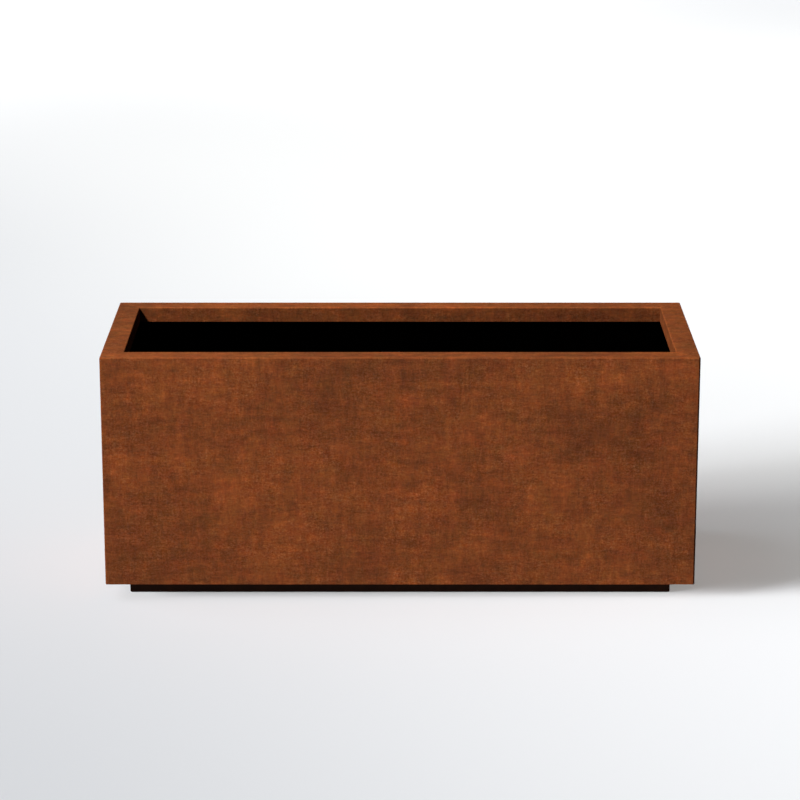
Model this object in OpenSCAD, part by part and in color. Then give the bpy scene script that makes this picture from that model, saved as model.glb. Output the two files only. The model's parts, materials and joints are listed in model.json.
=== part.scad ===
// Rectangular trough planter, folded and welded from weathering-steel sheet.
// Each wall is one sheet, folded in at its foot for the floor and in and down at its top for the
// rim and its lip. The walls meet at welded corner seams, ground to the radius of the folds. A floor
// plate lies on the walls' flanges and on a base frame of square tube, which is set back as a
// plinth. An angle rib stands inside each long wall, and a bolted flat bar ties the two together.
// The origin is on the ground under the middle of the planter, its front faces -Y and +Z is up.

/* [Body] */
// Length of the body along its front
body_length = 1200; // [900:10:1800]
// Depth of the body from front to back
body_depth = 460; // [400:10:800]
// Height of the folded body, from its foot to the top of its rim
body_height = 479; // [420:1:900]
// Thickness of the body's sheet
sheet = 2; // [1.5:0.1:2.4]
// Outside radius of every fold and of the ground corner seams
fold_radius = 2.5; // [2.5:0.5:8]

/* [Rim] */
// Width of the rim, from the outer face to the inner face of its lip
rim_width = 46; // [40:1:80]
// Depth of the lip below the top of the rim
lip_depth = 31; // [16:1:60]

/* [Floor] */
// Width of the flange folded in at the foot of each wall
flange_width = 25; // [18:1:40]
// Thickness of the floor plate
floor_thickness = 3; // [2:0.5:6]
// Gap between the floor plate's edge and the end of the folds
floor_clearance = 0.5; // [0.5:0.5:3]
// Diameter of the drainage holes
drain_diameter = 20; // [12:1:30]
// Distance between the front and back rows of drainage holes
drain_spacing = 160; // [80:5:200]

/* [Base frame] */
// Distance by which the base frame is set back from the walls
base_inset = 46; // [42:1:80]
// Side of the square tube
tube_side = 35; // [30:5:50]
// Wall of the square tube
tube_wall = 3; // [2:0.5:4]
// Outside corner radius of the square tube
tube_radius = 5; // [4.5:0.5:8]
// Distance between the middles of the two cross rails
cross_rail_spacing = 370; // [250:10:500]
// Width of the weep notches in the foot of the back rail
weep_width = 40; // [20:1:60]
// Height of the weep notches
weep_height = 6; // [5:1:10]

/* [Ribs and tie] */
// Thickness of the ribs' angle section
rib_thickness = 4; // [3:0.5:6]
// Inside corner radius of the ribs' angle section
rib_fillet = 4; // [2:0.5:6]
// Gap between a rib's free leg and the back of the lip
rib_lip_gap = 2; // [1:0.5:5]
// Gap between a rib's top and the start of the rim's fold
rib_top_gap = 104.5; // [0.5:0.5:150]
// Height of the tie's middle above the ground
tie_height = 280; // [150:5:350]
// Height of the tie's flat bar
tie_width = 50; // [46:1:60]
// Thickness of the tie's flat bar
tie_thickness = 6; // [4:0.5:8]
// Gap between each end of the tie and the wall
tie_end_gap = 6; // [5:0.5:10]
// Distance between the two bolts at each end of the tie
tie_bolt_spacing = 24; // [22:1:26]

/* [Fasteners] */
// Diameter of the tie's bolts
tie_bolt_diameter = 10; // [8:1:12]
// Distance across the flats of the tie's bolts and nuts
tie_bolt_flats = 16; // [14:1:18]
// Height of the heads of the tie's bolts
tie_bolt_head = 6.4; // [5:0.1:8]
// Height of the tie's nuts
tie_nut_height = 8.4; // [6:0.1:10]
// Outside diameter of the tie's washers
tie_washer_diameter = 20; // [18:1:21]
// Diameter of the floor's bolts
floor_bolt_diameter = 8; // [6:1:8]
// Distance across the flats of the floor's bolts
floor_bolt_flats = 13; // [10:1:14]
// Height of the heads of the floor's bolts
floor_bolt_head = 5.3; // [4:0.1:6]
// Length of the floor's bolts under the head
floor_bolt_length = 20; // [16:1:22]
// Outside diameter of the floor's washers
floor_washer_diameter = 24; // [22:1:28]
// Thickness of all washers
washer_thickness = 2; // [1.5:0.1:3]
// Distance between an end rail and the nearest bolt in a long rail
floor_bolt_margin = 75; // [50:5:100]
// Outside diameter of a rivet nut's body
rivet_nut_diameter = 11; // [10:0.5:12]
// Diameter of a rivet nut's flange and of its bulge under the tube's wall
rivet_nut_flange = 14; // [13:0.5:15]
// Thickness of a rivet nut's flange
rivet_nut_flange_thickness = 1.2; // [0.8:0.1:1.5]
// Length of a rivet nut below its flange
rivet_nut_length = 16; // [12:1:18]
// Height of the bulge where the rivet nut grips the tube's wall
rivet_nut_bulge = 4; // [3:0.5:5]
// Amount by which a bolt's hole is wider than the bolt
hole_clearance = 1; // [0.5:0.1:2]
// Amount by which a nut's or washer's bore is wider than its bolt
thread_clearance = 0.2; // [0.1:0.05:0.4]

/* [Stitch welds] */
// Leg of the fillet welds
weld_leg = 3; // [2:0.5:6]
// Length of one stitch
weld_length = 40; // [20:5:45]
// Number of stitches along each long wall
long_wall_stitches = 6; // [4:2:6]
// Number of stitches along each end wall
end_wall_stitches = 2; // [1:1:2]
// Distance from a wall's end to the stretch that its stitches share
weld_end_margin = 60; // [40:5:80]
// Number of stitches up each edge of a rib
rib_stitches = 3; // [2:1:4]

/* [Hidden] */
$fn = 48;
fine = 0.01;

plinth_height = tube_side - sheet;
body_top = plinth_height + body_height;
floor_bottom = tube_side;
floor_top = floor_bottom + floor_thickness;
floor_edge = fold_radius + floor_clearance;

base_length = body_length - 2 * base_inset;
base_depth = body_depth - 2 * base_inset;
long_rail_y = base_depth / 2 - tube_side / 2;
end_rail_x = base_length / 2 - tube_side / 2;
cross_rail_x = cross_rail_spacing / 2;
cross_rail_length = base_depth - 2 * tube_side;
end_bay_x = (cross_rail_x + end_rail_x) / 2;

long_rail_bolt_x = base_length / 2 - tube_side - floor_bolt_margin;
floor_bolt_places = concat(
    [for (x = [-long_rail_bolt_x, 0, long_rail_bolt_x], y = [-long_rail_y, long_rail_y]) [x, y]],
    [for (x = [-end_rail_x, end_rail_x]) [x, 0]]
);

rib_leg = rim_width - 2 * sheet - rib_lip_gap;
rib_top = body_top - fold_radius - rib_top_gap;
rib_height = rib_top - floor_top;
tie_length = body_depth - 2 * (sheet + tie_end_gap);
tie_bolt_y = body_depth / 2 - sheet - tie_end_gap - (rib_leg - tie_end_gap) / 2;
tie_grip = rib_thickness + tie_thickness;
tie_bolt_length = tie_grip + 2 * washer_thickness + tie_nut_height + 2.6;
tie_bolt_places = [
    for (y = [-tie_bolt_y, tie_bolt_y], z = [-1, 1]) [y, tie_height + z * tie_bolt_spacing / 2]
];

steel_rust = [0.45, 0.24, 0.13];
steel_dark = [0.13, 0.08, 0.05];
steel_coated = [0.09, 0.08, 0.075];
steel_zinc = [0.62, 0.63, 0.65];

// ---- shapes that several sub-parts share ----

// One quarter of a ring of sheet, with its hollow side towards +x and +y.
module fold_section() {
    difference() {
        circle(r = fold_radius);
        circle(r = fold_radius - sheet);
        translate([0, -fold_radius - fine]) square(2 * (fold_radius + fine));
        translate([-fold_radius - fine, 0]) square(2 * (fold_radius + fine));
    }
}

// Section of a folded wall: x runs inwards from the outer face, y up from the foot.
module wall_section() {
    fold_end = rim_width - fold_radius;
    translate([fold_radius, fold_radius]) fold_section();
    translate([fold_radius, 0]) square([flange_width - fold_radius, sheet]);
    translate([0, fold_radius]) square([sheet, body_height - 2 * fold_radius]);
    translate([fold_radius, body_height - fold_radius]) mirror([0, 1]) fold_section();
    translate([fold_radius, body_height - sheet]) square([fold_end - fold_radius, sheet]);
    translate([fold_end, body_height - fold_radius]) rotate(180) fold_section();
    translate([rim_width - sheet, body_height - lip_depth]) square([sheet, lip_depth - fold_radius]);
}

// A folded wall, centred on x, with its outer face on y = 0 and its foot on z = 0. The wall ends
// square at the corner seams, and its rim, lip and flange are mitred to meet the next wall's.
module folded_wall(length) {
    square_end = length / 2 - fold_radius;
    depth = max(rim_width, flange_width) + 1;
    intersection() {
        rotate([90, 0, 90]) linear_extrude(height = length, center = true) wall_section();
        translate([0, 0, -1]) linear_extrude(height = body_height + 2) polygon([
            [-square_end, -1], [square_end, -1],
            [square_end, fold_radius], [length / 2 - depth, depth],
            [depth - length / 2, depth], [-square_end, fold_radius]
        ]);
    }
}

// The weld metal of one upright corner, for the corner at -x and -y.
module corner_seam() {
    translate([fold_radius, fold_radius, 0]) rotate(180) rotate_extrude(angle = 90) {
        translate([0, fold_radius]) mirror([1, 0]) fold_section();
        translate([fold_radius - sheet, fold_radius]) square([sheet, body_height - 2 * fold_radius]);
        translate([0, body_height - fold_radius]) rotate(180) fold_section();
    }
}

module tube_section() {
    difference() {
        rounded_square(tube_side, tube_radius);
        rounded_square(tube_side - 2 * tube_wall, tube_radius - tube_wall);
    }
}

module rounded_square(side, radius) {
    reach = side / 2 - radius;
    square([side, 2 * reach], center = true);
    square([2 * reach, side], center = true);
    for (x = [-reach, reach], y = [-reach, reach]) translate([x, y]) circle(r = radius);
}

// A length of square tube along x, standing on z = 0.
module tube(length) {
    translate([0, 0, tube_side / 2]) rotate([90, 0, 90]) {
        linear_extrude(height = length, center = true) tube_section();
    }
}

// A tube of the base frame, mitred at both ends, with its outer face on y = 0.
module mitred_rail(length) {
    intersection() {
        translate([0, tube_side / 2, 0]) tube(length);
        translate([0, 0, -1]) linear_extrude(height = tube_side + 2) polygon([
            [-length / 2, 0], [length / 2, 0],
            [length / 2 - tube_side, tube_side], [tube_side - length / 2, tube_side]
        ]);
    }
}

// The holes for the rivet nuts, through the top walls of the rails.
module rivet_nut_holes() {
    for (place = floor_bolt_places) translate([place[0], place[1], tube_side - tube_wall - 1]) {
        cylinder(d = rivet_nut_diameter + thread_clearance, h = tube_wall + 2);
    }
}

module annulus(outer, bore, height) {
    difference() {
        cylinder(d = outer, h = height);
        translate([0, 0, -1]) cylinder(d = bore, h = height + 2);
    }
}

// A hexagonal prism standing on z = 0, with its upper corners chamfered.
module hexagon(flats, height) {
    corner_radius = flats / sqrt(3);
    intersection() {
        cylinder(r = corner_radius, h = height, $fn = 6);
        cylinder(r1 = corner_radius + height, r2 = flats * 0.48, h = height);
    }
}

// A bolt with the underside of its head on z = 0 and its shank below.
module hex_bolt(diameter, flats, head, length) {
    hexagon(flats, head);
    translate([0, 0, -length]) cylinder(d = diameter, h = length);
}

module hex_nut(diameter, flats, height) {
    difference() {
        hexagon(flats, height);
        translate([0, 0, -1]) cylinder(d = diameter + thread_clearance, h = height + 2);
    }
}

// A right-angled fillet along x, in the corner between the floor (z = 0) and a wall (y = 0).
module fillet(leg, length) {
    rotate([90, 0, 90]) linear_extrude(height = length, center = true) {
        polygon([[0, 0], [leg, 0], [0, leg]]);
    }
}

// A fillet stitch on the floor at each share of a wall whose inner face is on y = 0.
module wall_stitches(length, count) {
    share = (length - 2 * weld_end_margin) / count;
    for (i = [0 : count - 1]) translate([(i + 0.5 - count / 2) * share, 0, 0]) {
        fillet(weld_leg + floor_edge - sheet, weld_length);
    }
}

// An angle rib for the front wall: one leg on the wall, the other standing in from x = 0.
module rib() {
    difference() {
        translate([0, -body_depth / 2 + sheet, floor_top]) linear_extrude(height = rib_height) {
            translate([-rib_leg, 0]) square([rib_leg, rib_thickness]);
            translate([-rib_thickness, 0]) square([rib_thickness, rib_leg]);
            difference() {
                translate([-rib_thickness - rib_fillet, rib_thickness]) square(rib_fillet);
                translate([-rib_thickness - rib_fillet, rib_thickness + rib_fillet]) {
                    circle(r = rib_fillet);
                }
            }
        }
        tie_bolt_holes();
    }
}

// Puts what it is given on the axis of each bolt of the tie, with +z turned to +x.
module at_tie_bolts(x) {
    for (place = tie_bolt_places) translate([x, place[0], place[1]]) rotate([0, 90, 0]) children();
}

module tie_bolt_holes() {
    at_tie_bolts(-rib_thickness - 1) {
        cylinder(d = tie_bolt_diameter + hole_clearance, h = tie_grip + 2);
    }
}

// ---- body ----

module front_panel() {
    color(steel_rust) translate([0, -body_depth / 2, plinth_height]) folded_wall(body_length);
}

module back_panel() {
    color(steel_rust) rotate(180) translate([0, -body_depth / 2, plinth_height]) {
        folded_wall(body_length);
    }
}

module left_end_panel() {
    color(steel_rust) rotate(-90) translate([0, -body_length / 2, plinth_height]) {
        folded_wall(body_depth);
    }
}

module right_end_panel() {
    color(steel_rust) rotate(90) translate([0, -body_length / 2, plinth_height]) {
        folded_wall(body_depth);
    }
}

// side_x and side_y are 0 for the left and front, and 1 for the right and back.
module corner_weld(side_x, side_y) {
    color(steel_rust) mirror([side_x, 0, 0]) mirror([0, side_y, 0]) {
        translate([-body_length / 2, -body_depth / 2, plinth_height]) corner_seam();
    }
}

// ---- floor ----

module floor_plate() {
    length = body_length - 2 * floor_edge;
    depth = body_depth - 2 * floor_edge;
    color(steel_coated) difference() {
        translate([-length / 2, -depth / 2, floor_bottom]) cube([length, depth, floor_thickness]);
        for (x = [-end_bay_x, 0, end_bay_x], y = [-drain_spacing / 2, drain_spacing / 2]) {
            translate([x, y, floor_bottom - 1]) cylinder(d = drain_diameter, h = floor_thickness + 2);
        }
        for (place = floor_bolt_places) translate([place[0], place[1], floor_bottom - 1]) {
            cylinder(d = rivet_nut_flange + 2 * hole_clearance, h = floor_thickness + 2);
        }
    }
}

module floor_stitch_welds() {
    color(steel_coated) for (turn = [0, 180]) {
        rotate(turn) translate([0, -body_depth / 2 + sheet, floor_top]) {
            wall_stitches(body_length, long_wall_stitches);
        }
        rotate(turn + 90) translate([0, -body_length / 2 + sheet, floor_top]) {
            wall_stitches(body_depth, end_wall_stitches);
        }
    }
}

// ---- base frame ----

module base_front_rail() {
    color(steel_dark) difference() {
        translate([0, -base_depth / 2, 0]) mitred_rail(base_length);
        rivet_nut_holes();
    }
}

module base_back_rail() {
    color(steel_dark) difference() {
        rotate(180) translate([0, -base_depth / 2, 0]) mitred_rail(base_length);
        rivet_nut_holes();
        for (x = [-end_bay_x, 0, end_bay_x]) {
            translate([x - weep_width / 2, base_depth / 2 - tube_side - 1, -1]) {
                cube([weep_width, tube_side + 2, weep_height + 1]);
            }
        }
    }
}

module base_end_rail(turn) {
    color(steel_dark) difference() {
        rotate(turn) translate([0, -base_length / 2, 0]) mitred_rail(base_depth);
        rivet_nut_holes();
    }
}

module base_left_rail() {
    base_end_rail(-90);
}

module base_right_rail() {
    base_end_rail(90);
}

module base_cross_rail(x) {
    color(steel_dark) translate([x, 0, 0]) rotate(90) tube(cross_rail_length);
}

// ---- ribs and tie ----

module front_rib() {
    color(steel_coated) rib();
}

module back_rib() {
    color(steel_coated) mirror([0, 1, 0]) rib();
}

// Fillets up both edges of each rib's leg on the wall.
module rib_stitch_welds() {
    share = rib_height / rib_stitches;
    color(steel_coated) for (side = [0, 1], i = [0 : rib_stitches - 1]) mirror([0, side, 0]) {
        translate([0, -body_depth / 2 + sheet, floor_top + (i + 0.5) * share]) {
            rotate([0, 90, 0]) fillet(rib_thickness, weld_length);
            translate([-rib_leg, 0, 0]) rotate([0, -90, 0]) fillet(rib_thickness, weld_length);
        }
    }
}

module cross_tie() {
    color(steel_coated) difference() {
        translate([0, -tie_length / 2, tie_height - tie_width / 2]) {
            cube([tie_thickness, tie_length, tie_width]);
        }
        tie_bolt_holes();
    }
}

module tie_bolts() {
    color(steel_zinc) at_tie_bolts(tie_thickness + washer_thickness) {
        hex_bolt(tie_bolt_diameter, tie_bolt_flats, tie_bolt_head, tie_bolt_length);
    }
}

module tie_washers() {
    bore = tie_bolt_diameter + thread_clearance;
    color(steel_zinc) {
        at_tie_bolts(tie_thickness) annulus(tie_washer_diameter, bore, washer_thickness);
        at_tie_bolts(-rib_thickness - washer_thickness) {
            annulus(tie_washer_diameter, bore, washer_thickness);
        }
    }
}

module tie_nuts() {
    color(steel_zinc) at_tie_bolts(-rib_thickness - washer_thickness) {
        mirror([0, 0, 1]) hex_nut(tie_bolt_diameter, tie_bolt_flats, tie_nut_height);
    }
}

// ---- floor fasteners ----

module floor_bolts() {
    color(steel_zinc) for (place = floor_bolt_places) {
        translate([place[0], place[1], floor_top + washer_thickness]) {
            hex_bolt(floor_bolt_diameter, floor_bolt_flats, floor_bolt_head, floor_bolt_length);
        }
    }
}

module floor_washers() {
    bore = floor_bolt_diameter + thread_clearance;
    color(steel_zinc) for (place = floor_bolt_places) {
        translate([place[0], place[1], floor_top]) {
            annulus(floor_washer_diameter, bore, washer_thickness);
        }
    }
}

module rivet_nuts() {
    bore_r = (floor_bolt_diameter + thread_clearance) / 2;
    body_r = rivet_nut_diameter / 2;
    flange_r = rivet_nut_flange / 2;
    color(steel_zinc) for (place = floor_bolt_places) {
        translate([place[0], place[1], tube_side]) rotate_extrude() polygon([
            [bore_r, rivet_nut_flange_thickness], [flange_r, rivet_nut_flange_thickness],
            [flange_r, 0], [body_r, 0], [body_r, -tube_wall], [flange_r, -tube_wall],
            [body_r, -tube_wall - rivet_nut_bulge], [body_r, -rivet_nut_length],
            [bore_r, -rivet_nut_length]
        ]);
    }
}

front_panel();
back_panel();
left_end_panel();
right_end_panel();
corner_weld(0, 0);  // corner_weld_front_left
corner_weld(1, 0);  // corner_weld_front_right
corner_weld(0, 1);  // corner_weld_back_left
corner_weld(1, 1);  // corner_weld_back_right
floor_plate();
floor_stitch_welds();
base_front_rail();
base_back_rail();
base_left_rail();
base_right_rail();
base_cross_rail(-cross_rail_x);  // base_left_cross_rail
base_cross_rail(cross_rail_x);  // base_right_cross_rail
front_rib();
back_rib();
rib_stitch_welds();
cross_tie();
tie_bolts();
tie_washers();
tie_nuts();
floor_bolts();
floor_washers();
rivet_nuts();
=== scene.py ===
"""Trough planter of weathering steel: its finishes, its welds and fasteners, and the studio."""

import json
import math

import bpy
import numpy as np
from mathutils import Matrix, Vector


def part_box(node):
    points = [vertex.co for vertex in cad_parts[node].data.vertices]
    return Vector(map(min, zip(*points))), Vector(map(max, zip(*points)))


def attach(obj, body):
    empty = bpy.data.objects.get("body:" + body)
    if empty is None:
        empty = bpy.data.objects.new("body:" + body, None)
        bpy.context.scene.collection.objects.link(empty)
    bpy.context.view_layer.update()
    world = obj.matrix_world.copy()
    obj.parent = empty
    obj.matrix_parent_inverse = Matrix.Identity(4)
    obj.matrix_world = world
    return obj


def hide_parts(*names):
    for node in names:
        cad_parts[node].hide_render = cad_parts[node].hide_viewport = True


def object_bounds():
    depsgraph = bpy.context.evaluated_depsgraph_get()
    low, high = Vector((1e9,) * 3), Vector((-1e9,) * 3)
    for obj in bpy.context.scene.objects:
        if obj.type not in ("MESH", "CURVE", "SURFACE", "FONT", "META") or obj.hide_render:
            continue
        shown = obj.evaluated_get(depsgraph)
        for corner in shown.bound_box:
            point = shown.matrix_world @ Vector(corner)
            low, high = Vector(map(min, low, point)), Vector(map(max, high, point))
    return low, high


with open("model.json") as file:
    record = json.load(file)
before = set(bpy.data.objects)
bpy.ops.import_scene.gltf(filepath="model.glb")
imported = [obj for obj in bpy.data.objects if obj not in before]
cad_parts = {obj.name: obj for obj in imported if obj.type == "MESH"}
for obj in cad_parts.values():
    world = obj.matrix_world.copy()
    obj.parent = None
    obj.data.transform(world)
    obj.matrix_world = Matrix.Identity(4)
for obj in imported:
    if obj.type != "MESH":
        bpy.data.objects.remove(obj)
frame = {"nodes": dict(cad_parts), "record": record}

CAD_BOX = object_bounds()

# ---- sizes, in metres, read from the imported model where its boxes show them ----

LOW, HIGH = (np.array(corner) for corner in CAD_BOX)
HALF_LENGTH, HALF_DEPTH = HIGH[0], HIGH[1]
RIM_TOP = HIGH[2]
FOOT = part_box("front_panel")[0].z
RIM_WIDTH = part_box("front_panel")[1].y - LOW[1]
FOLD = HALF_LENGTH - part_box("front_panel")[1].x
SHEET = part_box("floor_plate")[0].z - FOOT
LIP_DROP = 0.031
LIP_FOOT = RIM_TOP - LIP_DROP
FLANGE = 0.025


# ---- materials ----

class Wire:
    """One socket of a material, on which arithmetic adds Math nodes."""

    def __init__(self, paint, socket):
        self.paint = paint
        self.socket = socket

    def maths(self, operation, *others):
        return self.paint.node("ShaderNodeMath", {"operation": operation}, (self, *others))

    def __add__(self, other):
        return self.maths("ADD", other)

    __radd__ = __add__

    def __mul__(self, other):
        return self.maths("MULTIPLY", other)

    __rmul__ = __mul__

    def __sub__(self, other):
        return self.maths("SUBTRACT", other)

    def __rsub__(self, other):
        return self.paint.node("ShaderNodeMath", {"operation": "SUBTRACT"}, (other, self))

    def __gt__(self, other):
        return self.maths("GREATER_THAN", other)

    def __abs__(self):
        return self.maths("ABSOLUTE")

    def exp(self):
        return self.maths("EXPONENT")

    def least(self, other):
        return self.maths("MINIMUM", other)

    def most(self, other):
        return self.maths("MAXIMUM", other)

    def step(self, start, end):
        """0 below start, 1 above end, and a smooth rise between them (or a fall, if end is the lower)."""
        values = {"Value": self, "From Min": start, "From Max": end}
        return self.paint.node("ShaderNodeMapRange", {"interpolation_type": "SMOOTHSTEP"}, values)


class Paint:
    """A material under construction, with its Principled shader and the object's own coordinates."""

    def __init__(self, name):
        self.material = bpy.data.materials.new(name)
        self.material.use_nodes = True
        self.tree = self.material.node_tree
        self.shader = self.tree.nodes["Principled BSDF"]
        coordinates = self.tree.nodes.new("ShaderNodeTexCoord")
        self.place = Wire(self, coordinates.outputs["Object"])
        self.facing = Wire(self, coordinates.outputs["Normal"])

    def node(self, kind, settings, values, output=0):
        """A node of that kind, with its settings and then the values or wires of its sockets."""
        node = self.tree.nodes.new(kind)
        for name, setting in settings.items():
            setattr(node, name, setting)
        pairs = values.items() if isinstance(values, dict) else enumerate(values)
        for key, value in pairs:
            self.put(node.inputs[key], value)
        return Wire(self, node.outputs[output])

    def put(self, socket, value):
        if isinstance(value, Wire):
            self.tree.links.new(value.socket, socket)
        else:
            socket.default_value = value

    def axes(self, vector):
        return [self.node("ShaderNodeSeparateXYZ", {}, (vector,), axis) for axis in range(3)]

    def vector(self, x, y, z):
        return self.node("ShaderNodeCombineXYZ", {}, (x, y, z))

    def colour(self, red, green, blue):
        return self.node("ShaderNodeCombineColor", {}, (red, green, blue))

    def stretched(self, vector, stretch):
        """The coordinates with each axis multiplied: a larger number makes finer grain along it."""
        return self.node("ShaderNodeVectorMath", {"operation": "MULTIPLY"}, (vector, stretch))

    def noise(self, vector, scale, detail, roughness=0.5):
        """Soft random values around zero, with features about 1 / scale metres across."""
        values = {"Vector": vector, "Scale": scale, "Detail": detail, "Roughness": roughness}
        return self.node("ShaderNodeTexNoise", {}, values) - 0.5

    def blend(self, factor, first, second):
        """The first colour where the factor is 0 and the second where it is 1."""
        values = {"Factor": factor, 6: first, 7: second}
        return self.node("ShaderNodeMix", {"data_type": "RGBA"}, values, 2)

    def bump(self, height, distance, strength):
        values = {"Strength": strength, "Distance": distance, "Height": height}
        return self.node("ShaderNodeBump", {}, values)

    def finish(self, sockets):
        """The material, with the values or wires of its shader's sockets."""
        for name, value in sockets.items():
            self.put(self.shader.inputs[name], value)
        return self.material


# Rust's middle colour, and how strongly tone, dust and both hues turn each of its channels.
RUST = (0.1625, 0.0436, 0.0124)
TONE = (0.70, 0.60, 0.39)
DUST = (0.29, 0.49, 0.82)
HUE = (1.0, 0.2, -1.0)
OLIVE = (-0.65, 0.75, -0.1)

# The plinth's rust, darkened almost black as painted shade under the overhang, and how strongly its patches
# turn each channel; the coating, also painted shade; and the plating.
SHADED_PLINTH_RUST = (0.020, 0.0075, 0.0040)
DARK_TONE = (0.7, 0.6, 0.4)
SHADE_BLACK_COATING = (0.010, 0.0085, 0.0075)
ZINC = (0.40, 0.41, 0.42)


def along_the_sheet(paint):
    """Coordinates whose first axis runs along each wall, so that its grain does too."""
    x, y, z = paint.axes(paint.place)
    facing_x = abs(paint.axes(paint.facing)[0])
    end = facing_x > 0.7
    return paint.vector(x + end * (y - x), y + end * (x - y), z)


def weathering_steel():
    """Rust in patches of every size, crossed by short streaks, with a black coating inside that is also
    painted shade. The right-hand seams carry painted shade, and the folds carry a partly painted highlight.
    """
    paint = Paint("weathering_steel")
    sheet = along_the_sheet(paint)
    clouds = paint.noise(paint.stretched(sheet, (1.0, 1.25, 1.25)), 6.0, 3.0, 1.0)
    streaks = paint.noise(paint.stretched(sheet, (1.0, 4.0, 4.0)), 15.0, 3.0, 1.0)
    runs = paint.noise(paint.stretched(sheet, (4.0, 4.0, 1.0)), 15.0, 3.0, 1.0)
    flakes = streaks.step(0.06, 0.10) + runs.step(0.06, 0.10)
    pits = streaks.step(-0.06, -0.11) + runs.step(-0.06, -0.11)
    uneven = paint.noise(sheet, 14.0, 2.0, 0.8) * 3.0 + 1.0
    grain = paint.noise(paint.stretched(sheet, (1.0, 1.3, 1.3)), 220.0, 1.0, 1.0)
    threads = paint.noise(paint.stretched(sheet, (1.0, 4.0, 4.0)), 80.0, 2.0, 1.0)
    stitches = paint.noise(paint.stretched(sheet, (4.0, 4.0, 1.0)), 80.0, 2.0, 1.0)
    stain_and_shade = paint.node("ShaderNodeAttribute", {"attribute_name": "stain_and_shade"}, {}, "Fac")
    tone = clouds * 1.7 + streaks * 1.2 + runs * 0.95 + (flakes - pits) * 0.11
    # The tone holds painted light: the right-hand seams are darkened as painted shade, the folds and edges
    # are lightened partly as edge wear and partly as a painted highlight, and the stain holds the back lip's
    # painted shade.
    tone = tone + stain_and_shade * 0.85 + wear_and_highlight_edges(paint) * 0.2 - painted_shade_right_seams(paint) * 2.2
    dust = (grain * 2.3 + threads * 1.2 + stitches * 1.0) * uneven
    hue = paint.noise(sheet, 60.0, 3.0, 0.9) * 0.37
    olive = paint.noise(sheet, 25.0, 5.0, 0.9) * 0.58
    rust = paint.colour(*(
        (tone * deep + dust * pale + hue * turn + olive * green).exp() * share
        for deep, pale, turn, green, share in zip(TONE, DUST, HUE, OLIVE, RUST)
    ))
    relief = paint.bump(tone + dust * 0.5, 0.0005, 0.6)
    # The inside is coated black: a bitumen coat that is also painted shade for the unlit inside.
    inside_shade = coated_and_shaded_inside(paint)
    soot, shade_black = bitumen_and_shade(paint, sheet)
    return paint.finish({
        "Base Color": paint.blend(inside_shade, rust, shade_black),
        "Roughness": inside_shade * (soot * 0.5 - 0.30) + (0.86 + grain * 0.2),
        "Specular IOR Level": 0.05,
        "Normal": relief,
    })


def depths(paint):
    """How far a point lies inward from the ends, from the front or back, and from the rim or foot."""
    x, y, z = paint.axes(paint.place)
    return HALF_LENGTH - abs(x), HALF_DEPTH - abs(y), RIM_TOP - z, z - FOOT


def wear_and_highlight_edges(paint):
    """1 along the outer folds, the lip's fold and the mitres, and 0 on the flat sheet. There the rust is
    lightened, partly as edge wear and partly as a painted highlight.

    On an outer edge the middle one of the three depths is small. On the lip's fold both the depth
    under the rim and the distance from the lip's face are. On a mitre two depths are equal."""
    end, side, below, above = depths(paint)
    height = below.least(above)
    inward = end.least(side)
    middle = inward.most(end.most(side).least(height))
    lip_fold = below.most(abs(inward - RIM_WIDTH))
    mitre = abs(end - side) + 0.0015
    wander = paint.noise(paint.place, 90.0, 2.0, 0.8) * 0.006
    return (middle.least(lip_fold).least(mitre) + wander).step(0.004, 0.001)


def painted_shade_right_seams(paint):
    """1 on the two right-hand corner seams, darkened there as painted shade where the folds turn away from
    the light, and 0 elsewhere.
    """
    side = depths(paint)[1]
    x = paint.axes(paint.place)[0]
    return x.step(HALF_LENGTH - 0.0036, HALF_LENGTH - 0.0026) * side.step(FOLD + 0.0002, FOLD - 0.0001)


def coated_and_shaded_inside(paint):
    """1 on the body's inner side, behind the lip and under the rim, and 0 on its rusty skin. The black
    coating there is also painted shade for the unlit inside.
    """
    end, side, below, above = depths(paint)
    ragged = paint.noise(paint.place, 60.0, 2.0) * 0.0006
    depth = end.least(side) + ragged
    within = depth.step(SHEET * 0.5, SHEET * 0.6)
    behind_lip = depth.step(RIM_WIDTH - SHEET * 0.4, RIM_WIDTH - SHEET * 0.5)
    return within * behind_lip * below.step(SHEET * 0.5, SHEET * 0.6) * above.step(SHEET * 0.5, SHEET * 0.6)


def bitumen_and_shade(paint, place):
    """Black bitumen paint, this dark also as painted shade inside the planter: its unevenness, from noise,
    and its colour, which rises with the noise.
    """
    soot = paint.noise(place, 40.0, 4.0, 0.6)
    return soot, paint.colour(*((soot * 1.2).exp() * share for share in SHADE_BLACK_COATING))


def plinth_steel():
    """Square tube of rust, darkened almost black as painted shade under the overhang."""
    paint = Paint("plinth_steel")
    patches = paint.noise(paint.place, 30.0, 5.0, 0.8)
    tone = patches * 2.5
    # The plinth's colour is rust darkened as painted shade.
    shaded_brown = paint.colour(*((tone * turn).exp() * share for turn, share in zip(DARK_TONE, SHADED_PLINTH_RUST)))
    return paint.finish({
        "Base Color": shaded_brown,
        "Roughness": patches * 0.4 + 0.75,
        "Specular IOR Level": 0.05,
        "Normal": paint.bump(patches, 0.0004, 0.5),
    })


def coated_steel():
    """Steel brushed with black bitumen paint, whose black is also painted shade inside the planter."""
    paint = Paint("coated_steel")
    soot, shade_black = bitumen_and_shade(paint, paint.place)
    return paint.finish({
        "Base Color": shade_black,
        "Roughness": soot * 0.5 + 0.56,
        "Specular IOR Level": 0.3,
        "Normal": paint.bump(soot, 0.0005, 0.5),
    })


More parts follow.
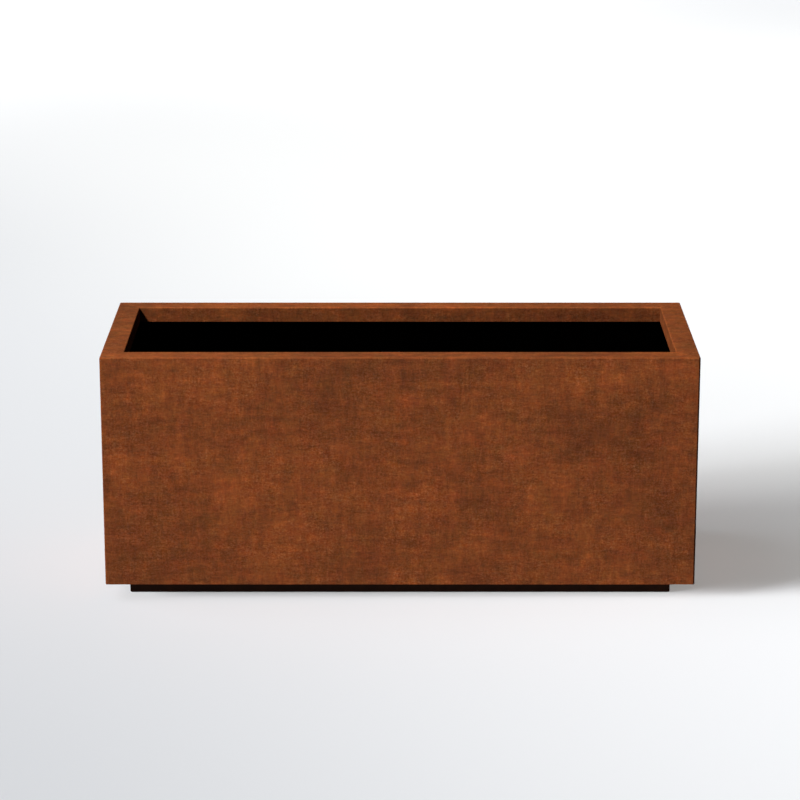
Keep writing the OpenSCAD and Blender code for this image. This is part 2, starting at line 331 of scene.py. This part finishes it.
def zinc_plated_steel():
    """Dull bright zinc, as on bought bolts."""
    paint = Paint("zinc_plated_steel")
    dull = paint.noise(paint.place, 180.0, 3.0, 0.6)
    grey = paint.colour(*((dull * 0.9).exp() * share for share in ZINC))
    return paint.finish({
        "Base Color": grey,
        "Metallic": 0.85,
        "Roughness": dull * 0.5 + 0.42,
        "Normal": paint.bump(dull, 0.0001, 0.4),
    })


MAKERS = {
    "weathering_steel": weathering_steel,
    "plinth_steel": plinth_steel,
    "coated_steel": coated_steel,
    "zinc_plated_steel": zinc_plated_steel,
}
FINISHES = {slot: make() for slot, make in MAKERS.items()}
NODE_SLOTS = {part["node"]: part["material_slot"] for part in frame["record"]["subparts"]}

for name, node in frame["nodes"].items():
    node.data.materials.clear()
    node.data.materials.append(FINISHES[NODE_SLOTS[name]])


# ---- pieces ----

def skin(name, grids, node, slot, ring=False):
    """Closed surfaces from grids of points, one for each copy: rows by columns, with the columns wrapped.

    The rows wrap too on a ring. Otherwise each end is closed by a strip joining opposite columns."""
    grids = np.asarray(grids)
    copies, rows, around = grids.shape[:3]
    index = np.arange(rows * around).reshape(rows, around)
    below = np.roll(index, -1, axis=0) if ring else index[1:]
    above = index if ring else index[:-1]
    quads = [above, below, np.roll(below, -1, axis=1), np.roll(above, -1, axis=1)]
    faces = np.stack(quads, axis=-1).reshape(-1, 4)
    if not ring:
        near, far = index[:, :around // 2], index[:, :around // 2 - 1:-1]
        strip = np.stack([near[:, :-1], far[:, :-1], far[:, 1:], near[:, 1:]], axis=-1)
        faces = np.concatenate([faces, strip[-1], strip[0, :, ::-1]])
    faces = faces + np.arange(copies)[:, None, None] * rows * around
    mesh = bpy.data.meshes.new(name)
    mesh.from_pydata(grids.reshape(-1, 3).tolist(), [], faces.reshape(-1, 4).tolist())
    mesh.shade_smooth()
    mesh.set_sharp_from_angle(angle=math.radians(35))
    mesh.materials.append(FINISHES[slot])
    piece = bpy.data.objects.new(name, mesh)
    bpy.context.scene.collection.objects.link(piece)
    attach(piece, "root")
    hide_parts(node)
    return piece


def wall_section():
    """The wall's outer line, from its flange up to its lip, as (depth inward, height), and its inner line.

    The line is straight on the flange, wall, rim and lip, with a quarter circle of the fold's radius
    between them. The inner line lies one sheet's thickness inside it, along the normal. A straight
    part's end points are drawn in by a hair, so that its shading stays flat up to the fold."""
    close = 0.0004

    def straight(start, end, count, inward):
        ends = np.array([start, end], float)
        share = np.linspace(0.0, 1.0, count)
        nudge = close / np.linalg.norm(ends[1] - ends[0])
        share = np.concatenate([[nudge], share[1:-1], [1.0 - nudge]])[:, None]
        return ends[0] + (ends[1] - ends[0]) * share, np.tile(inward, (len(share), 1))

    def fold(centre, first, last):
        angle = np.radians(np.linspace(first, last, 9))
        out = np.stack([np.cos(angle), np.sin(angle)], axis=1)
        return np.array(centre) + FOLD * out, -out

    top, foot, lip = RIM_TOP - FOLD, FOOT + FOLD, RIM_WIDTH - FOLD
    runs = [
        straight((FLANGE, FOOT), (FOLD, FOOT), 5, (0, 1)),
        fold((FOLD, foot), 270, 180),
        straight((0, foot), (0, top), 61, (1, 0)),
        fold((FOLD, top), 180, 90),
        straight((FOLD, RIM_TOP), (lip, RIM_TOP), 8, (0, -1)),
        fold((lip, top), 90, 0),
        straight((RIM_WIDTH, top), (RIM_WIDTH, LIP_FOOT), 6, (-1, 0)),
    ]
    runs[0][0][0] = (FLANGE, FOOT)
    runs[-1][0][-1] = (RIM_WIDTH, LIP_FOOT)
    outer, inward = (np.concatenate(part) for part in zip(*runs))
    return outer, outer + SHEET * inward


def wall(node, turn, length, stains_and_shade):
    """A folded wall: its section carried along its length, with mitred ends, and turned to its side.

    At depth d the wall reaches to half its length less d, or less the fold's radius where d is smaller.
    The stain at each point, with the painted shade on the back lip, is the sum of soft ellipses, strength *
    exp(-(dx / rx)^2 - (dz / rz)^2)."""
    outer, inner = wall_section()
    section = np.concatenate([outer, inner[::-1]])
    depth, height = section.T
    reach = length / 2 - np.maximum(depth, FOLD)
    along = np.linspace(-1.0, 1.0, int(length / 0.008))[:, None] * reach
    depth, height = np.broadcast_to(depth, along.shape), np.broadcast_to(height, along.shape)
    to_middle = HALF_DEPTH if turn in (0, 180) else HALF_LENGTH
    cos, sin = {0: (1, 0), 90: (0, 1), 180: (-1, 0), 270: (0, -1)}[turn]
    out = depth - to_middle
    grid = np.stack([along * cos - out * sin, along * sin + out * cos, height], axis=-1)
    piece = skin(f"{node}_sheet", [grid], node, "weathering_steel")
    x, z, wide, high, strength = (column[:, None, None] for column in np.array(stains_and_shade, float).T)
    stain_and_shade = (strength * np.exp(-((along - x) / wide) ** 2 - ((height - z) / high) ** 2)).sum(axis=0)
    values = piece.data.attributes.new("stain_and_shade", "FLOAT", "POINT")
    values.data.foreach_set("value", stain_and_shade.ravel())
    return piece


def scattered_stains(seed, count, length):
    """Soft ellipses of rust at random along a wall, with strengths that average to none."""
    chance = np.random.default_rng(seed)
    strength = chance.normal(0.0, 0.2, count)
    return np.stack([
        chance.uniform(-length / 2, length / 2, count), chance.uniform(FOOT, RIM_TOP, count),
        chance.uniform(0.06, 0.2, count), chance.uniform(0.04, 0.12, count), strength - strength.mean(),
    ], axis=1)


# The front's own stains: distance along it, height, half width, half height and strength.
FRONT_STAINS = [
    (0.38, 0.36, 0.11, 0.07, -0.45), (0.55, 0.18, 0.10, 0.22, -0.22), (-0.42, 0.29, 0.22, 0.07, 0.24),
    (-0.17, 0.43, 0.11, 0.11, -0.24), (0.40, 0.47, 0.13, 0.04, 0.26), (0.15, 0.33, 0.20, 0.10, 0.15),
    (-0.42, 0.47, 0.14, 0.05, 0.20), (-0.57, 0.10, 0.07, 0.08, -0.24), (0.42, 0.05, 0.09, 0.03, 0.22),
    (0.00, 0.47, 0.12, 0.03, -0.18), (-0.02, 0.20, 0.07, 0.03, 0.20), (0.22, 0.07, 0.07, 0.03, -0.16),
]
LENGTH, DEPTH = 2 * HALF_LENGTH, 2 * HALF_DEPTH
# Bands along the rims, and along the back lip below its rim, so wide that they are even from end to end. The
# band that darkens the back lip is painted shade.
EVEN = 3.0
RIGHT_RIM = [(0.0, RIM_TOP, EVEN, 0.010, -0.16)]
LEFT_RIM = [(0.0, RIM_TOP, EVEN, 0.010, -0.14)]
BACK_RIM_AND_LIP_SHADE = [(0.0, RIM_TOP, EVEN, 0.006, 0.22), (0.0, RIM_TOP - 0.020, EVEN, 0.018, -0.20)]
WALLS = [
    ("front_panel", 0, LENGTH, FRONT_STAINS),
    ("right_end_panel", 90, DEPTH, [*scattered_stains(3, 8, DEPTH), *RIGHT_RIM]),
    ("back_panel", 180, LENGTH, [*scattered_stains(5, 16, LENGTH), *BACK_RIM_AND_LIP_SHADE]),
    ("left_end_panel", 270, DEPTH, [*scattered_stains(8, 8, DEPTH), *LEFT_RIM]),
]
for node, turn, length, stains_and_shade in WALLS:
    wall(node, turn, length, stains_and_shade)


# Quarter turns about the upright axis and about the axis from front to back.
UPRIGHT = np.array([(0, -1, 0), (1, 0, 0), (0, 0, 1)])
SIDEWAYS = np.array([(0, 0, 1), (0, 1, 0), (-1, 0, 0)])


def turned(grid, rotation, times, place):
    """The grid after that many quarter turns, moved to its place."""
    return grid @ np.linalg.matrix_power(rotation, times).T + place


def bead(leg, length, seed):
    """A rippled fillet along x, in the corner of the planes y = 0 and z = 0.

    At angle a the face lies at leg * swell * (1 - 0.06 cos phase) / (cos a + sin a), where swell is
    1 + 0.1 sin 2a and phase is 2 pi (x - leg sin 2a / 4) / pitch plus a slow wander. It falls to a
    quarter round each end, and the root is a right angle 0.9 as deep as the face's edge."""
    chance = np.random.default_rng(seed)
    x = np.linspace(-length / 2, length / 2, 96)[:, None]
    angle = np.radians(np.linspace(90, 0, 10))[None, :]
    pitch = 0.0022 + 0.0002 * chance.normal()
    wander = 0.8 * np.sin(x / 0.006 + chance.uniform(0, 6))
    phase = 2 * np.pi * (x - leg * np.sin(2 * angle) / 4) / pitch + wander
    run_out = np.clip((np.abs(x) - length / 2 + leg) / leg, 0, 1)
    size = leg * (0.25 + 0.75 * np.sqrt(1 - run_out ** 2)) * (1 - 0.06 * np.cos(phase))
    size = size * (1 + 0.1 * np.sin(2 * angle)) / (np.cos(angle) + np.sin(angle))
    face = np.stack([x + 0 * angle, size * np.cos(angle), size * np.sin(angle)], axis=-1)
    share = np.linspace(1, -1, 10)[None, :]
    root = 0.9 * size[:, :1]
    back = np.stack([x + 0 * share, root * np.maximum(-share, 0), root * np.maximum(share, 0)], axis=-1)
    return np.concatenate([face, back[:, ::-1]], axis=1)


FLOOR_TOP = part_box("floor_plate")[1].z
RIB_LOW, RIB_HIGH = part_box("front_rib")
RIB_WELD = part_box("rib_stitch_welds")[1].x
FLOOR_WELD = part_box("floor_stitch_welds")[1].z - FLOOR_TOP
STITCH = 0.040
LONG_STITCHES = (-0.45, -0.27, -0.09, 0.09, 0.27, 0.45)
SHORT_STITCHES = (-0.085, 0.085)
floor_beads = []
for times in range(4):
    stitches, reach = (LONG_STITCHES, HALF_DEPTH) if times % 2 == 0 else (SHORT_STITCHES, HALF_LENGTH)
    for x in stitches:
        straight_bead = bead(FLOOR_WELD, STITCH, len(floor_beads)) + (x, SHEET - reach, FLOOR_TOP)
        floor_beads.append(turned(straight_bead, UPRIGHT, times, 0))
skin("floor_beads", floor_beads, "floor_stitch_welds", "coated_steel")

FIRST_RIB_SEED = 40
rib_beads = []
third = (RIB_HIGH.z - RIB_LOW.z) / 3
for half_turns, sign in ((0, 1), (1, -1)):
    for level in range(3):
        for toward, x in ((1, RIB_HIGH.x), (-1, RIB_LOW.x)):
            rib_bead = bead(RIB_WELD, STITCH, FIRST_RIB_SEED + len(rib_beads))
            place = (x * sign, SHEET - HALF_DEPTH, RIB_LOW.z + (level + 0.5) * third)
            rib_bead = turned(rib_bead, SIDEWAYS, toward * sign, 0) + place
            rib_beads.append(turned(rib_bead, UPRIGHT, 2 * half_turns, 0))
skin("rib_beads", rib_beads, "rib_stitch_welds", "coated_steel")


def hexagon(flats, angle):
    """The distance from the middle to a hexagon's edge: half its flats over cos of the angle from a flat."""
    return flats / 2 / np.cos(angle % (np.pi / 3) - np.pi / 6)


def threaded(radius, pitch, angle, z):
    """A screw's surface: radius less a rounded V groove that climbs one pitch in each turn."""
    return radius - 0.3 * pitch * (1 + np.cos(2 * np.pi * z / pitch - angle))


def chamfer(flats, radius):
    """How far a hexagon's face has fallen at a radius: tan 30 times what lies beyond 0.475 of its flats."""
    return np.maximum(radius - 0.475 * flats, 0) * math.tan(math.radians(30))


def angles(count):
    """That many equal steps round the z axis, in a row."""
    return np.linspace(0, 2 * np.pi, count, endpoint=False)[None, :]


def revolved(radius, angle, height):
    """Points about the z axis: x = radius cos angle, y = radius sin angle, z = height."""
    return np.stack([radius * np.cos(angle), radius * np.sin(angle), height], axis=-1)


def hex_bolt(diameter, flats, head, length, pitch):
    """A bolt along z, its head on z = 0: radius and height as functions of angle and of the path down it.

    The path crosses the head's chamfered top, goes down its sides and in under it, then down the
    threaded shank, whose last 1.2 mm narrows by 0.7 of the distance, and across its end."""
    angle = angles(48)
    edge = hexagon(flats, angle)
    out = np.array([0.02, 0.45, 0.86, 0.93, 0.97, 1.0, 1.0])[:, None] * edge
    top = head - chamfer(flats, out)
    low = np.array([0.0004, 0.0])[:, None]
    sides = np.concatenate([edge, edge * 0.985])
    z = np.linspace(-0.0002, -length, 110)[:, None]
    taper = np.minimum(0, (z + length) - 0.0012) * 0.7
    shank = threaded(diameter / 2, pitch, angle, z) + taper
    tip = np.concatenate([shank[-1:] * 0.6, shank[-1:] * 0.02])
    radius = np.concatenate([out, sides, shank, tip])
    height = np.concatenate([top, low + 0 * angle, z + 0 * angle, 0 * tip - length])
    return revolved(radius, angle, height)


def hex_nut(bore, flats, tall, pitch):
    """A nut on z = 0: radius and height as functions of angle and of the path round its section.

    Each face runs from the bore's edge to the hexagon's, with the bolt head's chamfer. The thread
    between them waves by 0.3 of a pitch about the bore's radius, and climbs one pitch in each turn."""
    angle = angles(48)
    edge = hexagon(flats, angle)
    share = np.array([0.0, 0.6, 0.85, 0.94, 1.0])[:, None]
    face = bore / 2 + 0.0004 + share * (edge - bore / 2 - 0.0004)
    fall = chamfer(flats, face)
    z = np.linspace(0.0003, tall - 0.0003, 50)[:, None]
    thread = threaded(bore / 2 + 0.6 * pitch, pitch, angle, z) - 0.3 * pitch
    radius = np.concatenate([face, face[::-1], thread[::-1]])[::-1]
    height = np.concatenate([fall, (tall - fall)[::-1], (z + 0 * angle)[::-1]])[::-1]
    return revolved(radius, angle, height)


def washer(outside, bore, thickness):
    """A flat ring on z = 0 whose section is a box with corners rounded by a quarter of its thickness.

    From the section's middle, the point at angle t is a corner of the box less its rounding, the one
    with the signs of cos t and sin t, plus the rounding times (cos t, sin t). Each t is a hair past
    the axes, where a sign would be zero."""
    angle = angles(64)
    turn = np.radians(np.arange(0, 360, 15))
    round_off = thickness / 4
    half = np.array([(outside - bore) / 4 - round_off, thickness / 2 - round_off])
    side = np.stack([np.cos(turn + 0.01), np.sin(turn + 0.01)], axis=1)
    ring = (np.sign(side) * half + side * round_off)[::-1]
    radius = (outside + bore) / 4 + ring[:, :1]
    height = thickness / 2 + ring[:, 1:] + 0 * angle
    return revolved(radius, angle, height)


# The tie's set is M10 and the floor's is M8. Nuts and washers have bores 0.2 mm wider than their bolts.
TIE_BOLT = {"diameter": 0.010, "flats": 0.016, "head": 0.0064, "length": 0.025, "pitch": 0.0015}
TIE_NUT = {"bore": 0.0102, "flats": 0.016, "tall": 0.0084, "pitch": 0.0015}
FLOOR_BOLT = {"diameter": 0.008, "flats": 0.013, "head": 0.0053, "length": 0.020, "pitch": 0.00125}
WASHER = 0.002
TIE_WASHER = {"outside": 0.020, "bore": 0.0102, "thickness": WASHER}
FLOOR_WASHER = {"outside": 0.024, "bore": 0.0082, "thickness": WASHER}

# The bolts' places. The outermost floor bolts reach the end of their node's box: by half their flats
# along y, and by half the hexagon's width over its corners, flats / sqrt 3, along x.
RIB_SHEET = 0.004
TIE_LOW, TIE_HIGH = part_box("cross_tie")
TIE_MIDDLE = (TIE_LOW.z + TIE_HIGH.z) / 2
TIE_PLACES = [(y, TIE_MIDDLE + z) for y in (-0.205, 0.205) for z in (-0.012, 0.012)]
FLOOR_BOLTS_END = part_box("floor_bolts")[1]
RAIL_Y = FLOOR_BOLTS_END.y - FLOOR_BOLT["flats"] / 2
RAIL_X = FLOOR_BOLTS_END.x - FLOOR_BOLT["flats"] / math.sqrt(3)
FLOOR_PLACES = [(x, y) for x in (-0.444, 0.0, 0.444) for y in (-RAIL_Y, RAIL_Y)]
FLOOR_PLACES += [(-RAIL_X, 0.0), (RAIL_X, 0.0)]


def across(grid, x):
    """Copies at the tie's bolts, with the grid's upward direction turned to +x."""
    return [turned(grid, SIDEWAYS, 1, (x, y, z)) for y, z in TIE_PLACES]


def down(grid, z):
    """Copies at the floor's bolts."""
    return [grid + (x, y, z) for x, y in FLOOR_PLACES]


tie_washer = washer(**TIE_WASHER)
FASTENERS = [
    ("tie_bolt_set", "tie_bolts", across(hex_bolt(**TIE_BOLT), TIE_HIGH.x + WASHER), False),
    ("tie_nut_set", "tie_nuts", across(hex_nut(**TIE_NUT), -RIB_SHEET - WASHER - TIE_NUT["tall"]), True),
    ("tie_washer_set", "tie_washers",
     across(tie_washer, TIE_HIGH.x) + across(tie_washer, -RIB_SHEET - WASHER), True),
    ("floor_bolt_set", "floor_bolts", down(hex_bolt(**FLOOR_BOLT), FLOOR_TOP + WASHER), False),
    ("floor_washer_set", "floor_washers", down(washer(**FLOOR_WASHER), FLOOR_TOP), True),
]
for name, node, grids, ring in FASTENERS:
    skin(name, grids, node, "zinc_plated_steel", ring)


# ---- studio ----

FLOOR_REACH = 60.0
FLOOR_WHITE = 0.8
CAMERA_DISTANCE = 5.6812
CAMERA_HEIGHT = 2.0312
CAMERA_PITCH = math.radians(15.792)
LENS = 132.729

# The key lights the planter only: its direction, distance, size and power.
KEY_DIRECTION = (-0.71, -0.45, 1.0)
KEY_DISTANCE = 9.0
KEY_SIZE = 0.9
KEY_POWER = 1450.0

# Low lamps on the left, which only the floor takes: azimuth, elevation, spread, and the red, green and
# blue that each gives there.
LOW_DISTANCE = 20.0
LOW_LAMPS = [
    (182.0, 50.0, 45.0, (0.098, 0.103, 0.113)),
    (193.0, 12.0, 16.0, (0.275, 0.279, 0.280)),
    (204.0, 12.0, 16.0, (0.253, 0.261, 0.278)),
]

# Overhead spots on the floor only, which the planter doesn't block: centre x and y, radius, and the
# red, green and blue that each gives there.
SPOT_HEIGHT = 25.0
SPOTS = [
    (-4.0, 8.0, 6.0, (0.487, 0.480, 0.458)),
    (1.0, 2.0, 4.0, (0.222, 0.222, 0.219)),
    (2.0, 4.0, 4.0, (0.236, 0.225, 0.190)),
    (2.0, 8.0, 4.0, (0.284, 0.280, 0.270)),
    (3.0, -2.0, 4.0, (0.316, 0.312, 0.302)),
]

# Low soft fills from behind for the planter's back and right end, under its rim: place, width and power.
FILL_TARGET = (0.0, 0.0, 0.2)
FILL_TALL = 0.4
FILLS = [((-1.2, 3.4, 0.25), 2.0, 20.0), ((2.6, 4.2, 0.25), 1.6, 200.0)]

# The surroundings: how bright they look, and how much light they give.
BACKDROP = 0.97
AMBIENT = 0.02


def floor():
    """A square white board on z = 0, out beyond the camera's view."""
    corners = np.array([(-1, -1, 0), (1, -1, 0), (1, 1, 0), (-1, 1, 0)]) * FLOOR_REACH
    mesh = bpy.data.meshes.new("studio_floor")
    mesh.from_pydata(corners.tolist(), [], [(0, 1, 2, 3)])
    board = bpy.data.objects.new("studio_floor", mesh)
    bpy.context.scene.collection.objects.link(board)
    paint = Paint("studio_floor")
    white = (FLOOR_WHITE, FLOOR_WHITE, FLOOR_WHITE, 1.0)
    mesh.materials.append(paint.finish({"Base Color": white, "Roughness": 0.9, "Specular IOR Level": 0.0}))
    return board


def lamp(name, kind, place, target, **settings):
    """A lamp at a place, turned towards its target."""
    light = bpy.data.lights.new(name, kind)
    for setting, value in settings.items():
        setattr(light, setting, value)
    holder = bpy.data.objects.new(name, light)
    holder.location = place
    holder.rotation_euler = (Vector(target) - Vector(place)).to_track_quat("-Z", "Y").to_euler()
    bpy.context.scene.collection.objects.link(holder)
    return holder


def studio():
    """The floor, its lamps and the planter's own, the surroundings and the camera."""
    board = floor()
    only_floor = bpy.data.collections.new("floor_only")
    all_but_floor = bpy.data.collections.new("all_but_floor")
    for collection in (only_floor, all_but_floor):
        collection.objects.link(board)
    all_but_floor.collection_objects[0].light_linking.link_state = "EXCLUDE"

    middle = Vector((0.0, 0.0, RIM_TOP / 2))
    direction = Vector(KEY_DIRECTION).normalized()
    key = lamp("key", "AREA", middle + direction * KEY_DISTANCE, middle, energy=KEY_POWER, size=KEY_SIZE)
    key.light_linking.receiver_collection = all_but_floor
    for number, (place, width, power) in enumerate(FILLS):
        fill = lamp(f"fill_{number}", "AREA", place, FILL_TARGET, energy=power, shape="RECTANGLE",
                    size=width, size_y=FILL_TALL)
        fill.light_linking.receiver_collection = all_but_floor
    for number, (azimuth, elevation, spread, colour) in enumerate(LOW_LAMPS):
        turn, rise = math.radians(azimuth), math.radians(elevation)
        level = math.cos(rise)
        place = LOW_DISTANCE * Vector((level * math.cos(turn), level * math.sin(turn), math.sin(rise)))
        strength = math.pi / (FLOOR_WHITE * math.sin(rise))
        low = lamp(f"low_{number}", "SUN", place, (0.0, 0.0, 0.0), energy=strength, color=colour,
                   angle=math.radians(spread))
        low.light_linking.receiver_collection = only_floor
    for number, (x, y, radius, colour) in enumerate(SPOTS):
        power = 4 * (math.pi * SPOT_HEIGHT) ** 2 / FLOOR_WHITE
        spot = lamp(f"spot_{number}", "SPOT", (x, y, SPOT_HEIGHT), (x, y, 0.0), energy=power, color=colour,
                    spot_size=2 * math.atan(radius / SPOT_HEIGHT), spot_blend=1.0, shadow_soft_size=0.5)
        spot.light_linking.receiver_collection = only_floor
        spot.light_linking.blocker_collection = only_floor

    world = bpy.data.worlds.new("studio")
    world.use_nodes = True
    nodes, links = world.node_tree.nodes, world.node_tree.links
    seen = nodes.new("ShaderNodeLightPath")
    ambient = nodes.new("ShaderNodeMapRange")
    ambient.inputs["To Min"].default_value = AMBIENT
    ambient.inputs["To Max"].default_value = BACKDROP
    links.new(seen.outputs["Is Camera Ray"], ambient.inputs["Value"])
    links.new(ambient.outputs[0], nodes["Background"].inputs["Strength"])
    nodes["Background"].inputs["Color"].default_value = (1.0, 1.0, 1.0, 1.0)
    bpy.context.scene.world = world

    data = bpy.data.cameras.new("camera")
    data.lens = LENS
    data.clip_end = 200.0
    camera = bpy.data.objects.new("camera", data)
    camera.location = (0.0, LOW[1] - CAMERA_DISTANCE, CAMERA_HEIGHT)
    camera.rotation_euler = (math.pi / 2 - CAMERA_PITCH, 0.0, 0.0)
    bpy.context.scene.collection.objects.link(camera)
    bpy.context.scene.camera = camera
    bpy.context.scene.view_settings.view_transform = "Standard"


studio()
